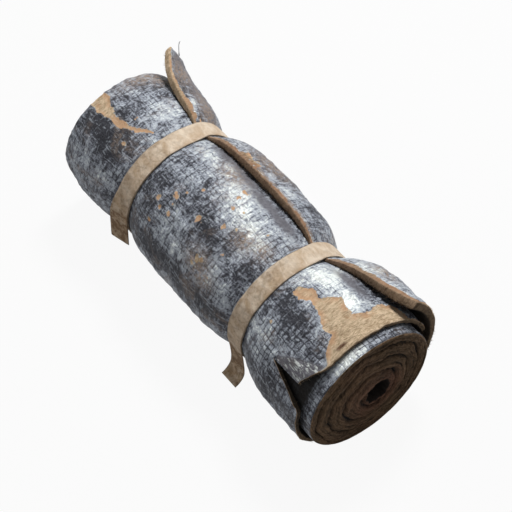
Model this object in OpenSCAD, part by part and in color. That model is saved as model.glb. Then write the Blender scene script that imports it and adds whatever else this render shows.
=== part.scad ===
// Insulation roll: a foil-faced wool mat rolled up, in a loose outer wrap of the same mat,
// tied with two cloth straps whose free ends hang at the left.
// Millimetres. X runs along the roll to its front end, Z is up, and the origin is at the
// middle of the bore. Angles run round the roll from the right-hand side upwards.

/* [Rolled mat] */
// Width of the mat, which is the length of the roll
mat_width = 1000; // [800:10:1300]
// Radius of the rolled mat between the straps
roll_radius = 169; // [145:1:200]
// How much wider the roll is at its front end
front_flare = 12; // [0:1:14]
// How much narrower the roll is at its rear end
rear_taper = 17; // [0:1:24]
// Length of the stretch that narrows at the rear end
taper_length = 112; // [60:1:140]
// Rounding of the edges of the roll's ends
end_round = 7; // [3:1:12]

/* [Bore and turns] */
// Radius of the hole that the turns leave in the middle
bore_radius = 40; // [20:1:55]
// How far the bore lies to the right of the middle of the roll
bore_right = 29; // [0:1:40]
// How far the bore lies below the middle of the roll
bore_below = 33; // [0:1:40]
// Number of grooves between the turns on each end
turn_count = 6; // [4:1:8]
// How much thinner the outer turns are than the inner ones
turn_tighten = 1.35; // [1:0.05:1.6]
// Width of the grooves between the turns
turn_gap = 5; // [2:0.5:7]
// Depth of the grooves between the turns
turn_depth = 10; // [4:1:16]

/* [Outer wrap] */
// Thickness of the wrap where it lies on the roll
wrap_thick = 12; // [8:1:18]
// Thickness of the wrap under the straps
wrap_tied = 9; // [6:0.5:12]
// Thickness of the wrap along its loose edge
lap_thick = 22; // [14:1:28]
// Thickness of the wrap at the front corner of its loose edge
mouth_thick = 27; // [14:1:30]
// How far the wrap sags away from the roll at its sides
wrap_sag = 8; // [0:1:12]
// How far the wrap's front edge stands back from the front of the roll
wrap_setback = 32; // [10:1:60]
// Angle at which the loose edge lies
lap_angle = 60; // [40:1:75]
// Angle by which the wrap overlaps itself
lap_overlap = 45; // [25:1:60]
// Angle over which the loose edge lifts off
lift_span = 130; // [90:5:160]
// Swell of the wrap beside its loose edge, between the straps
lap_swell = 7; // [2:1:24]
// Swell of the wrap beside its loose edge, in front of the straps
mouth_swell = 17; // [4:1:24]
// Swell of the wrap beside its loose edge, at the rear end
corner_swell = 21; // [0:1:30]
// Lift of the loose edge between the straps
lift_middle = 4; // [1:1:20]
// Lift of the loose edge at the front end
lift_front = 31; // [10:1:50]
// Lift of the loose edge at its rear corner
lift_rear = 69; // [20:1:80]
// Angle by which the lifted edge opens at the front end
open_front = 8; // [0:1:18]
// Angle by which the lifted edge opens at its rear corner
open_rear = 10; // [0:1:18]

/* [Tear] */
// Angle at which the front edge of the wrap is torn
tear_angle = 147; // [130:1:160]
// Length of the tear from the front edge
tear_length = 125; // [60:1:170]
// Angle by which the tear gapes at the front edge
tear_gape = 18; // [12:1:35]
// How far the torn corner is drawn back from the front edge
corner_back = 30; // [10:1:50]
// Lift of the torn corner
corner_lift = 5; // [0:1:25]
// Bulge of the wrap below the tear
lip_bulge = 1; // [0:1:12]

/* [Straps] */
// Width of the straps
strap_width = 56; // [30:1:70]
// Thickness of the straps
strap_thick = 2; // [1:0.25:4]
// Place of the rear strap along the roll
rear_strap_at = -287; // [-330:1:-220]
// Place of the front strap along the roll
front_strap_at = 187; // [140:1:240]
// How deep the straps draw the roll in
strap_pinch = 12; // [6:1:20]
// Length over which the roll swells again beside a strap
pinch_reach = 40; // [25:1:60]
// Angle at which the rear strap's free end leaves the roll
rear_leave = 150; // [140:1:175]
// Angle at which the front strap's free end leaves the roll
front_leave = 190; // [175:1:195]
// Length of the rear strap's free end
rear_tail = 186; // [120:1:200]
// Length of the front strap's free end down to its curled tip
front_tail = 100; // [60:1:105]
// Length of the front strap's curled tip
tip_length = 52; // [20:1:60]
// Angle by which the front strap's tip curls outwards
tip_curl = 70; // [30:1:80]
// Angle by which a strap overlaps itself before it leaves the roll
strap_overlap = 40; // [25:1:60]
// Twist of the rear strap's free end
tail_twist = 15; // [0:1:20]

/* [Fits] */
// Gap between the wrap and what it is tied against
tied_gap = 0.6; // [0.4:0.1:1]
// Further gap round the roll away from the straps
slack_gap = 1; // [0.5:0.1:3]
// Gap between a strap and what lies under it
strap_gap = 0.5; // [0.4:0.1:0.8]

/* [Hidden] */

// Colours of the wool, the foil facing and the cloth
wool_colour = [0.42, 0.32, 0.22];
foil_colour = [0.55, 0.56, 0.60];
cloth_colour = [0.68, 0.57, 0.44];

// Bare seat left beside a strap, length of the front flare, angle over which a strap climbs onto
// its own hidden end, and how far a cut runs past its face
seat_margin = 3;
flare_length = 120;
climb = 8;
past_end = 1;

front_x = mat_width / 2;
wrap_front = front_x - wrap_setback;
wrap_rear = -front_x - wrap_setback;
seat_half = strap_width / 2 + seat_margin;
roll_middle = [-bore_right, bore_below];

lap_end = lap_angle + 360;
wrap_start = lap_angle - lap_overlap;

// Angles from the hidden edge between which the wrap climbs onto that edge
climb_start = 245;
climb_end = 350;
step_from = wrap_start + climb_start;
step_to = wrap_start + climb_end;

// How sharply the rear corner rises, spreads and opens along the roll, and how sharply it bends up
// towards the loose edge
corner_rise = 3.4;
corner_spread = 2.7;
corner_open = 3;
corner_bend = 5.8;

// How sharply the front mouth rises along the roll and both mouths bend up, where the swell beside
// the loose edge is highest, and how much of that swell closes at the front end
mouth_rise = 2.7;
mouth_bend = 3;
swell_bend = 2.4;
mouth_close = 0.88;

// Half width of the tear at its tip, and lengths and angles over which its lips curl
tear_lip = 0.5;
corner_reach = 24;
corner_curl = 40;
lip_reach = 60;
tear_tip = wrap_front - tear_length;

// Steps along and round the wrap, in degrees round a strap, and along the roll's front stretch
rear_steps = 10;
middle_steps = 12;
front_steps = 10;
upper_steps = 22;
gape_steps = 4;
lower_steps = 44;
strap_step = 5;
roll_steps = 18;

// Gradual change from 0 to 1
function ease(u) = let(v = min(1, max(0, u))) v * v * (3 - 2 * v);
function share(u) = min(1, max(0, u));
function mix(a, b, t) = a + (b - a) * t;

// How tightly the straps hold the roll at x: 1 under a strap, 0 far from both
function hold(x, at) = exp(-max(0, abs(x - at) - seat_half) / pinch_reach);
function pinch(x) = max(hold(x, rear_strap_at), hold(x, front_strap_at));

// Radius of the rolled mat at x
function roll_r(x) = roll_radius - strap_pinch * pinch(x)
    + front_flare * ease((x - front_strap_at - seat_half) / flare_length)
    - rear_taper * pow(max(0, (taper_length + wrap_rear - x) / taper_length), 2);

// Share of the way over the lifting stretch of the wrap, at angle a
function lap_share(a) = share((a - lap_end + lift_span) / lift_span);

// Share of the way from the straps to the rear end and to the front end of the wrap
function rear_share(x) = share((rear_strap_at - seat_half - x)
    / (rear_strap_at - seat_half - wrap_rear));
function front_share(x) = share((x - front_strap_at - seat_half)
    / (wrap_front - front_strap_at - seat_half));
function middle_share(x) = share((x - rear_strap_at - seat_half)
    / (front_strap_at - rear_strap_at - 2 * seat_half));

// Swell of the wrap in its three stretches, none of it under the straps
function swell(x) = x < rear_strap_at ? corner_swell * pow(rear_share(x), corner_spread)
    : x < front_strap_at ? lap_swell * (1 - pinch(x))
    : mouth_swell * (1 - pinch(x)) * (1 - mouth_close * pow(front_share(x), 3));

// Lift of the wrap off the turn below: a swell that comes down again at the loose edge, a curled
// corner at the rear, a bow between the straps and a mouth that opens towards the front
function lift(x, a) = let(s = lap_share(a))
    swell(x) * sin(180 * pow(s, swell_bend))
    + lift_rear * pow(rear_share(x), corner_rise) * pow(s, corner_bend)
    + lift_middle * sin(180 * middle_share(x)) * pow(s, mouth_bend)
    + lift_front * pow(front_share(x), mouth_rise) * pow(s, mouth_bend);
function opening(x, a) = lap_share(a)
    * (open_rear * pow(rear_share(x), corner_open) + open_front * front_share(x));

// Curl of the torn corner above the tear, and bulge of the wrap below it
function torn(x, a) = a < tear_angle
    ? corner_lift * ease((a - tear_angle + corner_curl) / corner_curl)
        * share((x - tear_tip) / (tear_length - corner_back))
    : lip_bulge * (1 - ease((a - tear_angle - tear_gape) / lip_reach))
        * ease((x - tear_tip + lip_reach) / lip_reach);

// Thickness of the wrap at its loose edge and all over, and radius of its inner face
function edge_t(x) = mix(lap_thick, mouth_thick, front_share(x));
function wrap_t(x, a) = mix(
    mix(wrap_thick, edge_t(x), pow(lap_share(a), 2)), wrap_tied, pinch(x));
function wrap_gap(x) = tied_gap + slack_gap * (1 - pinch(x));
function wrap_r(x, a) = roll_r(x) + wrap_gap(x)
    + (wrap_t(x, wrap_start) + wrap_gap(x)) * ease((a - step_from) / (step_to - step_from))
    + wrap_sag * (1 - pinch(x)) * pow(cos(a), 2)
    + lift(x, a) + torn(x, a);

// Lean of the lifted wrap away from the round, so that its thickness stays square to it
function lean(x, a) = atan((lift(x, a) - lift(x, a - 1)) * 180 / PI / wrap_r(x, a));

function polar(x, r, a) = [x, roll_middle[0] + r * cos(a), roll_middle[1] + r * sin(a)];
function wrap_inner(x, a) = polar(x, wrap_r(x, a), a - opening(x, a));
function wrap_outer(x, a) = let(n = a - opening(x, a) - lean(x, a))
    wrap_inner(x, a) + wrap_t(x, a) * [0, cos(n), sin(n)];

// Front edge of the wrap round the roll, with the torn corner drawn back and the tear gaping
function wrap_edge(a) = a < tear_angle
    ? wrap_front - corner_back * ease((a - tear_angle + corner_reach) / corner_reach)
    : wrap_front - tear_length * (1 - share((a - tear_angle - tear_lip) / tear_gape));

// Places from a to b that lie closer together towards both ends
function places(a, b, steps) = [for (i = [0:steps]) mix(a, b, (1 - cos(180 * i / steps)) / 2)];
rear_places = places(wrap_rear, rear_strap_at - seat_half, rear_steps);
middle_places = places(rear_strap_at + seat_half, front_strap_at - seat_half, middle_steps);

// Places along the wrap from its rear edge to its front edge, with the strap seats kept straight
function wrap_places(a) = concat(
    rear_places, middle_places, places(front_strap_at + seat_half, wrap_edge(a), front_steps));

// Angles round the wrap from its hidden edge to its loose edge, with both lips of the tear
wrap_angles = concat(
    [for (i = [0:upper_steps]) mix(wrap_start, tear_angle - tear_lip, i / upper_steps)],
    [for (i = [0:gape_steps]) tear_angle + tear_lip + tear_gape * i / gape_steps],
    [for (i = [1:lower_steps]) mix(tear_angle + tear_lip + tear_gape, lap_end, i / lower_steps)]);

// Closed sheet between two grids of points, each a list of columns
module thick_sheet(under, over) {
    columns = len(under);
    rows = len(under[0]);
    count = columns * rows;
    function at(i, j, side) = side * count + i * rows + j;
    function quad(a, b, c, d) = [[a, b, c], [a, c, d]];
    skins = [for (i = [0:columns - 2], j = [0:rows - 2], side = [0, 1])
        let(p = at(i, j, side), q = at(i + 1, j, side), r = at(i + 1, j + 1, side), s = at(i, j + 1, side))
        each side == 0 ? quad(p, q, r, s) : quad(p, s, r, q)];
    ends = [for (i = [0:columns - 2], j = [0, rows - 1])
        let(p = at(i, j, 0), q = at(i + 1, j, 0), r = at(i + 1, j, 1), s = at(i, j, 1))
        each j == 0 ? quad(p, s, r, q) : quad(p, q, r, s)];
    edges = [for (j = [0:rows - 2], i = [0, columns - 1])
        let(p = at(i, j, 0), q = at(i, j + 1, 0), r = at(i, j + 1, 1), s = at(i, j, 1))
        each i == 0 ? quad(p, q, r, s) : quad(p, s, r, q)];
    polyhedron(
        points = concat([for (c = under) each c], [for (c = over) each c]),
        faces = concat(skins, ends, edges),
        convexity = 8);
}

// Places at which the rolled mat's side is turned, from the rear end to the front end
roll_places = concat(
    [for (x = rear_places) if (x > -front_x + end_round) x],
    middle_places,
    [for (x = places(front_strap_at + seat_half, front_x - end_round, roll_steps))
        if (x < front_x - end_round) x]);

// Rounded corner of an end: points of a quarter circle at the end that side points to
round_steps = 4;
function end_corner(side) = [for (i = [0:round_steps])
    let(a = 90 * (side > 0 ? i : round_steps - i) / round_steps, x = side * (front_x - end_round))
    [roll_r(x) - end_round * (1 - cos(a)), x + side * end_round * sin(a)]];

module turned_roll() {
    rotate([0, 90, 0])
        rotate_extrude($fn = 128)
            polygon(concat(
                [[0, -front_x]],
                end_corner(-1),
                [for (x = roll_places) [roll_r(x), x]],
                end_corner(1),
                [[0, front_x]]));
}

// Groove between two turns, cut into the end that side points to
module turn_groove(side, t) {
    middle = t * roll_middle;
    r = mix(bore_radius, roll_r(side * front_x) - end_round, t);
    translate([side * front_x, middle[0], middle[1]])
        rotate([0, side * 90, 0])
            rotate_extrude($fn = 96)
                polygon([[r - turn_gap / 2, past_end], [r, -turn_depth], [r + turn_gap / 2, past_end]]);
}

module rolled_mat() {
    color(wool_colour)
        difference() {
            translate([0, roll_middle[0], roll_middle[1]]) turned_roll();
            rotate([0, 90, 0])
                cylinder(h = mat_width + 2 * past_end, r = bore_radius, center = true, $fn = 64);
            for (side = [-1, 1], k = [1:turn_count])
                turn_groove(side, 1 - pow(1 - k / (turn_count + 1), turn_tighten));
        }
}

module outer_wrap() {
    color(foil_colour)
        thick_sheet(
            [for (a = wrap_angles) [for (x = wrap_places(a)) wrap_inner(x, a)]],
            [for (a = wrap_angles) [for (x = wrap_places(a)) wrap_outer(x, a)]]);
}

// Radius at which a strap lies on the wrap, at angle a counted on over the loose edge
function seat_r(at, a) = wrap_r(at, a) + wrap_t(at, a);
function strap_bridge(at) = acos(seat_r(at, lap_angle) / seat_r(at, lap_end));
function strap_rest(at, a) = strap_gap + (
    a <= lap_end ? seat_r(at, a)
    : a < lap_end + strap_bridge(at) ? seat_r(at, lap_angle) / cos(lap_end + strap_bridge(at) - a)
    : seat_r(at, a - 360));
function strap_r(at, a, start) = strap_rest(at, a)
    + (strap_thick + strap_gap) * ease((a - start - 360 + 2 * climb) / climb);

// Angles at which a strap turns, from its hidden end to where its free end leaves the roll
function strap_angles(start, leave) = let(
    n = ceil((lap_end - start) / strap_step), m = ceil((leave + 360 - lap_end) / strap_step))
    concat([for (i = [0:n]) mix(start, lap_end, i / n)],
        [for (i = [1:m]) mix(lap_end, leave + 360, i / m)]);

// Places and headings along a free end made of arcs, each [length, turn, steps]
function tail_arc(p, h, arc) = [for (k = [1:arc[2]])
    let(t = k / arc[2], mean = h + arc[1] * t / 2, half = arc[1] * t / 2 * PI / 180,
        chord = abs(half) < 0.001 ? arc[0] * t : arc[0] * t * sin(arc[1] * t / 2) / half)
    [p + chord * [cos(mean), sin(mean)], h + arc[1] * t]];
function tail_path(p, h, arcs, i = 0) = i == len(arcs) ? []
    : let(run = tail_arc(p, h, arcs[i]), last = run[len(run) - 1])
    concat(run, tail_path(last[0], last[1], arcs, i + 1));

// Band round the roll at one place, with its free end running on along the given arcs
module strap(at, leave, arcs, twist) {
    start = leave - strap_overlap;
    angles = strap_angles(start, leave);
    ring = [for (a = angles) [strap_r(at, a, start) * [cos(a), sin(a)], a + 90]];
    tail = tail_path(ring[len(ring) - 1][0], leave + 90, arcs);
    path = concat(ring, tail);
    function turned(i) = tan(twist) * ease(2 * (i + 1 - len(ring)) / len(tail));
    function point(i, across, rise) = let(
        n = path[i][1] - 90,
        out = rise + (strap_width / 2 - across) * turned(i),
        p = path[i][0] + roll_middle)
        [at + across, p[0] + out * cos(n), p[1] + out * sin(n)];
    color(cloth_colour)
        thick_sheet(
            [for (i = [0:len(path) - 1]) [for (s = [-0.5, 0.5]) point(i, s * strap_width, 0)]],
            [for (i = [0:len(path) - 1]) [for (s = [-0.5, 0.5]) point(i, s * strap_width, strap_thick)]]);
}

// The rear strap's free end turns down and hangs straight
module rear_strap() {
    hang = 270 - rear_leave - 90;
    strap(rear_strap_at, rear_leave, [[rear_tail / 2, hang, 6], [rear_tail / 2, 0, 3]], tail_twist);
}

// The front strap's free end hangs down and curls outwards at its tip
module front_strap() {
    hang = 270 - front_leave - 90;
    strap(front_strap_at, front_leave, [[front_tail, hang, 4], [tip_length, -tip_curl, 8]], 0);
}

rolled_mat();
outer_wrap();
rear_strap();
front_strap();
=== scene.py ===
import math

import bpy
import numpy as np
from mathutils import Matrix, Vector


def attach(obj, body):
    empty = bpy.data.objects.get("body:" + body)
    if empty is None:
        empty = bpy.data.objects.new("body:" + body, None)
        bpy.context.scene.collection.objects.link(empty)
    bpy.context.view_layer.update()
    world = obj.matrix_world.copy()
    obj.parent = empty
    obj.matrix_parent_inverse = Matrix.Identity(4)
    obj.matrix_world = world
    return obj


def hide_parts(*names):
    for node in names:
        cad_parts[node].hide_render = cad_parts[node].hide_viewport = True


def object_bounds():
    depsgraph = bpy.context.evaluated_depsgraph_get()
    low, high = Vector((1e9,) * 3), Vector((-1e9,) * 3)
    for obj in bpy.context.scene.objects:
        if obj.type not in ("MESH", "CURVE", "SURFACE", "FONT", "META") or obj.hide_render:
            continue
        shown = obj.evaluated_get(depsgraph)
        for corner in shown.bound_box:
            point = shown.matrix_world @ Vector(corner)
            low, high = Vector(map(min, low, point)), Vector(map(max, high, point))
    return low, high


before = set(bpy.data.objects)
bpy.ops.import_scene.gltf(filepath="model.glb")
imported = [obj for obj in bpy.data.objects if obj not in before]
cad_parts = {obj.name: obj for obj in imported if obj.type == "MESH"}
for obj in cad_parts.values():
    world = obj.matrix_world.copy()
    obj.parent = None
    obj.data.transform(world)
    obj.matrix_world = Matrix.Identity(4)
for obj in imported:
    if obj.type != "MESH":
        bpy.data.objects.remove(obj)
cadLow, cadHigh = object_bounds()
print("frame loaded:", sorted(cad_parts))

# The dictionaries are in millimetres and degrees, as the part's own sizes are; meshes are in metres.
# X runs along the roll to its front end, Z is up. Angles run round the roll's middle from +Y upwards.
metre = 0.001
rollMiddle = np.array([-29.0, 33.0])  # y and z of the roll's middle; the bore's is at 0, 0

roll = {
    "end": 500, "radius": 169, "endRound": 7, "bore": 40,
    "flare": 12, "flareFrom": 218, "flareLength": 120,
    "taper": 17, "taperFrom": -420, "taperLength": 112,
}
tie = {"places": (-287, 187), "seatHalf": 31, "pinch": 12, "reach": 40}


# small shape helpers on whole arrays

def ease(u):  # gradual change from 0 to 1
    v = np.clip(u, 0, 1)
    return v * v * (3 - 2 * v)


def share(u):  # held between 0 and 1
    return np.clip(u, 0, 1)


def mix(a, b, t):  # share t of the way from a to b
    return a + (b - a) * t


def stretch(u, low, rise, high, fall):  # 1 between low and high, with a gradual rise and fall inside them
    return ease((u - low) / rise) * ease((high - u) / fall)


def joined(*parts):  # arrays side by side in a new last axis
    return np.stack(np.broadcast_arrays(*parts), axis=-1)


def unit(v):  # vectors divided by their length
    return v / np.linalg.norm(v, axis=-1, keepdims=True)


def noise(points, size, seed):
    # random numbers from -1 to 1 on a lattice of the given size, eased between its corners
    cells = 32
    table = np.random.default_rng(seed).uniform(-1, 1, (cells, cells, cells))
    place = points / size
    low = np.floor(place).astype(int)
    part = place - low
    part = part * part * (3 - 2 * part)
    total = 0
    for corner in np.ndindex(2, 2, 2):
        i, j, k = np.moveaxis((low + corner) % cells, -1, 0)
        total = total + table[i, j, k] * np.prod(np.where(corner, part, 1 - part), axis=-1)
    return total


def crease(points, size, seed):  # sharp ridges where the noise passes through 0
    return 1 - 2.2 * np.abs(noise(points, size, seed))


def turned(x, radius, angle):  # points at a radius and an angle in degrees round the roll's middle
    a = np.radians(angle)
    return joined(x, rollMiddle[0] + radius * np.cos(a), rollMiddle[1] + radius * np.sin(a))


def pinch(x):  # 1 under a strap, falling off beside it
    near = [np.exp(-np.maximum(0, np.abs(x - at) - tie["seatHalf"]) / tie["reach"]) for at in tie["places"]]
    return np.max(near, axis=0)


def rollRadius(x):  # barrel between the straps, flared at the front and tapered at the rear
    return (roll["radius"] - tie["pinch"] * pinch(x)
            + roll["flare"] * ease((x - roll["flareFrom"]) / roll["flareLength"])
            - roll["taper"] * np.maximum(0, (roll["taperFrom"] - x) / roll["taperLength"]) ** 2)


# meshes

def gridFaces(rows, columns, closeRows, closeColumns):
    # four corners of every cell of a grid of points, wrapped round where a direction is closed
    i = np.arange(rows if closeRows else rows - 1)[:, None]
    j = np.arange(columns if closeColumns else columns - 1)[None, :]
    down, over = (i + 1) % rows, (j + 1) % columns
    corners = joined(i * columns + j, down * columns + j, down * columns + over, i * columns + over)
    return corners.reshape(-1, 4)


def placed(name, data):  # a new object in the scene
    made = bpy.data.objects.new(name, data)
    bpy.context.scene.collection.objects.link(made)
    return made


def makePiece(name, points, faces, attributes, material):
    # joins points that coincide, turns the faces outwards and stores the surface's own coordinates
    points = points.reshape(-1, 3) * metre
    rounded = np.round(points * 1e6).astype(np.int64)  # to a thousandth of a millimetre
    _, first, index = np.unique(rounded, axis=0, return_index=True, return_inverse=True)
    faces = index.reshape(-1)[faces]
    same = faces == np.roll(faces, -1, axis=1)
    quads = faces[same.sum(axis=1) == 0]
    thin = same.sum(axis=1) == 1
    triangles = faces[thin][~same[thin]].reshape(-1, 3)
    points = points[first]
    cut = np.concatenate([quads[:, [0, 1, 2]], quads[:, [0, 2, 3]], triangles])
    a, b, c = (points[cut[:, k]] for k in range(3))
    if np.einsum("ij,ij->i", a, np.cross(b, c)).sum() < 0:
        quads, triangles = quads[:, ::-1], triangles[:, ::-1]
    mesh = bpy.data.meshes.new(name)
    mesh.from_pydata(points.tolist(), [], quads.tolist() + triangles.tolist())
    mesh.polygons.foreach_set("use_smooth", np.ones(len(mesh.polygons), dtype=bool))
    for key, values in attributes.items():
        values = np.asarray(values, dtype=np.float32).reshape(-1, 3)[first]
        mesh.attributes.new(key, "FLOAT_VECTOR", "POINT").data.foreach_set("vector", values.ravel())
    mesh.materials.append(material)
    mesh.update()
    piece = placed(name, mesh)
    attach(piece, "root")
    print(name, len(points), "points,", 2 * len(quads) + len(triangles), "triangles")
    return piece


# shader maths: a socket that can be added, multiplied and so on

class Sock:
    def __init__(self, tree, out):
        self.tree = tree
        self.out = out

    def node(self, kind, settings, inputs, out=0):
        # any node: its settings first, then the values or links of its sockets
        made = self.tree.nodes.new(kind)
        for key, value in settings.items():
            setattr(made, key, value)
        feed(self.tree, made, inputs)
        return Sock(self.tree, made.outputs[out])

    def math(self, operation, *others):
        values = dict(enumerate((self,) + others))
        return self.node("ShaderNodeMath", {"operation": operation}, values)

    def __add__(self, other):
        return self.math("ADD", other)

    def __mul__(self, other):
        return self.math("MULTIPLY", other)

    def __sub__(self, other):
        return self.math("SUBTRACT", other)

    def __rsub__(self, other):
        return self.node("ShaderNodeMath", {"operation": "SUBTRACT"}, {0: other, 1: self})

    __radd__ = __add__
    __rmul__ = __mul__

    def clipped(self):
        return self.node("ShaderNodeMath", {"operation": "ADD", "use_clamp": True}, {0: self, 1: 0.0})

    def between(self, low, high):  # smooth step from 0 at low to 1 at high
        return self.node("ShaderNodeMapRange", {"interpolation_type": "SMOOTHSTEP"},
                         {"Value": self, "From Min": low, "From Max": high})

    def scaled(self, *factors):  # a vector times a constant vector
        return self.node("ShaderNodeVectorMath", {"operation": "MULTIPLY"}, {0: self, 1: factors})

    def grain(self, size, detail=3.0, rough=0.6, twist=0.0):  # noise from 0 to 1 at this vector
        return self.node("ShaderNodeTexNoise", {}, {
            "Vector": self, "Scale": 1 / size, "Detail": detail, "Roughness": rough, "Distortion": twist})

    def ridge(self, sharp):  # 1 where a noise passes its middle value, falling off on both sides
        return 1 - (self - 0.5).math("ABSOLUTE") * sharp

    def moved(self, push, amount):  # a vector pushed by another one
        return self.node("ShaderNodeVectorMath", {"operation": "MULTIPLY_ADD"},
                         {0: push, 1: (amount,) * 3, 2: self})

    def parts(self):  # the three parts of a vector
        first = self.node("ShaderNodeSeparateXYZ", {}, {0: self})
        return [Sock(self.tree, out) for out in first.out.node.outputs]

    def facets(self, size):  # random number from 0 to 1 for each flat facet of crumpled foil
        return self.node("ShaderNodeTexVoronoi", {}, {"Vector": self, "Scale": 1 / size}, 1).parts()[0]

    def tint(self, low, high):  # colour between two colours or colour sockets
        return self.node("ShaderNodeMix", {"data_type": "RGBA"}, {0: self, 6: low, 7: high}, 2)


def feed(tree, node, values):  # links or constants for the sockets of a node
    for key, value in values.items():
        if isinstance(value, Sock):
            tree.links.new(value.out, node.inputs[key])
        else:
            node.inputs[key].default_value = value


def rgb(red, green, blue):
    return (red, green, blue, 1.0)


def weighed(layers, weights):  # sum of the layers, each times its weight
    return sum(layers[key] * weight for key, weight in weights.items())


def startMaterial(name):
    material = bpy.data.materials.new(name)
    material.use_nodes = True
    tree = material.node_tree
    shader = tree.nodes["Principled BSDF"]
    return material, tree, shader, Sock(tree, None)


# finish of the mat: creased foil over a scrim grid, worn through to the wool in places

matFinish = {
    # foil colours from dark to bright: tarnish with painted shade, dull and pale foil, then bright foil that
    # also paints highlights and glints
    "tarnishAndShade": rgb(0.024, 0.025, 0.032), "dullFoil": rgb(0.152, 0.163, 0.195),
    "paleFoil": rgb(0.39, 0.425, 0.475), "brightFoil": rgb(0.745, 0.785, 0.76),
    "plainFoilAndShadow": rgb(0.120, 0.117, 0.132), "stain": rgb(0.25, 0.19, 0.15),
    "paleWool": rgb(0.75, 0.585, 0.40), "midWool": rgb(0.33, 0.225, 0.128),
    "rustWool": rgb(0.60, 0.36, 0.21), "hollowShade": rgb(0.005, 0.004, 0.003),
    "redWool": rgb(0.235, 0.120, 0.075), "redDark": rgb(0.070, 0.034, 0.020),
    "soiledWool": rgb(0.22, 0.140, 0.080), "soiledDark": rgb(0.046, 0.028, 0.015),
    "scrimPitch": 0.0142, "scrimWidth": 0.10, "crumple": 0.006, "crumpleScale": 45.0, "strokeStretch": 4.2,
    "bump": 0.0034, "bumpStrength": 0.9, "gloss": 0.25,
    # how much each layer of the foil adds to its painted shine (the highlights, glints and shade painted into
    # its colour), and the level that is taken off
    "paintedShine": {"zone": 0.42, "drift": 1.2, "swath": 1.5, "cloud": 0.35, "strokes": 0.8, "scratch": 0.6,
              "fleck": 0.25, "small": 0.20, "wrinkle": 0.10, "pillow": 0.12, "scrim": -0.52, "fold": -0.34},
    "paintedShineLevel": 2.01,
    # how much each layer adds to the relief of the foil and of the wool
    "foilRelief": {"cloud": 0.9, "small": 0.16, "strokes": 0.8, "wrinkle": 0.35, "fleck": 0.3,
                   "pillow": 0.22},
    "woolRelief": {"fibres": 1.7, "tufts": 1.0},
    # roughness of the wool, how much smoother the foil and its bright places are, and how metallic
    "woolRough": 0.95, "foilSmooth": 0.38, "brightSmooth": 0.14, "foilMetal": 0.05, "brightMetal": 0.18,
}


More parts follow.
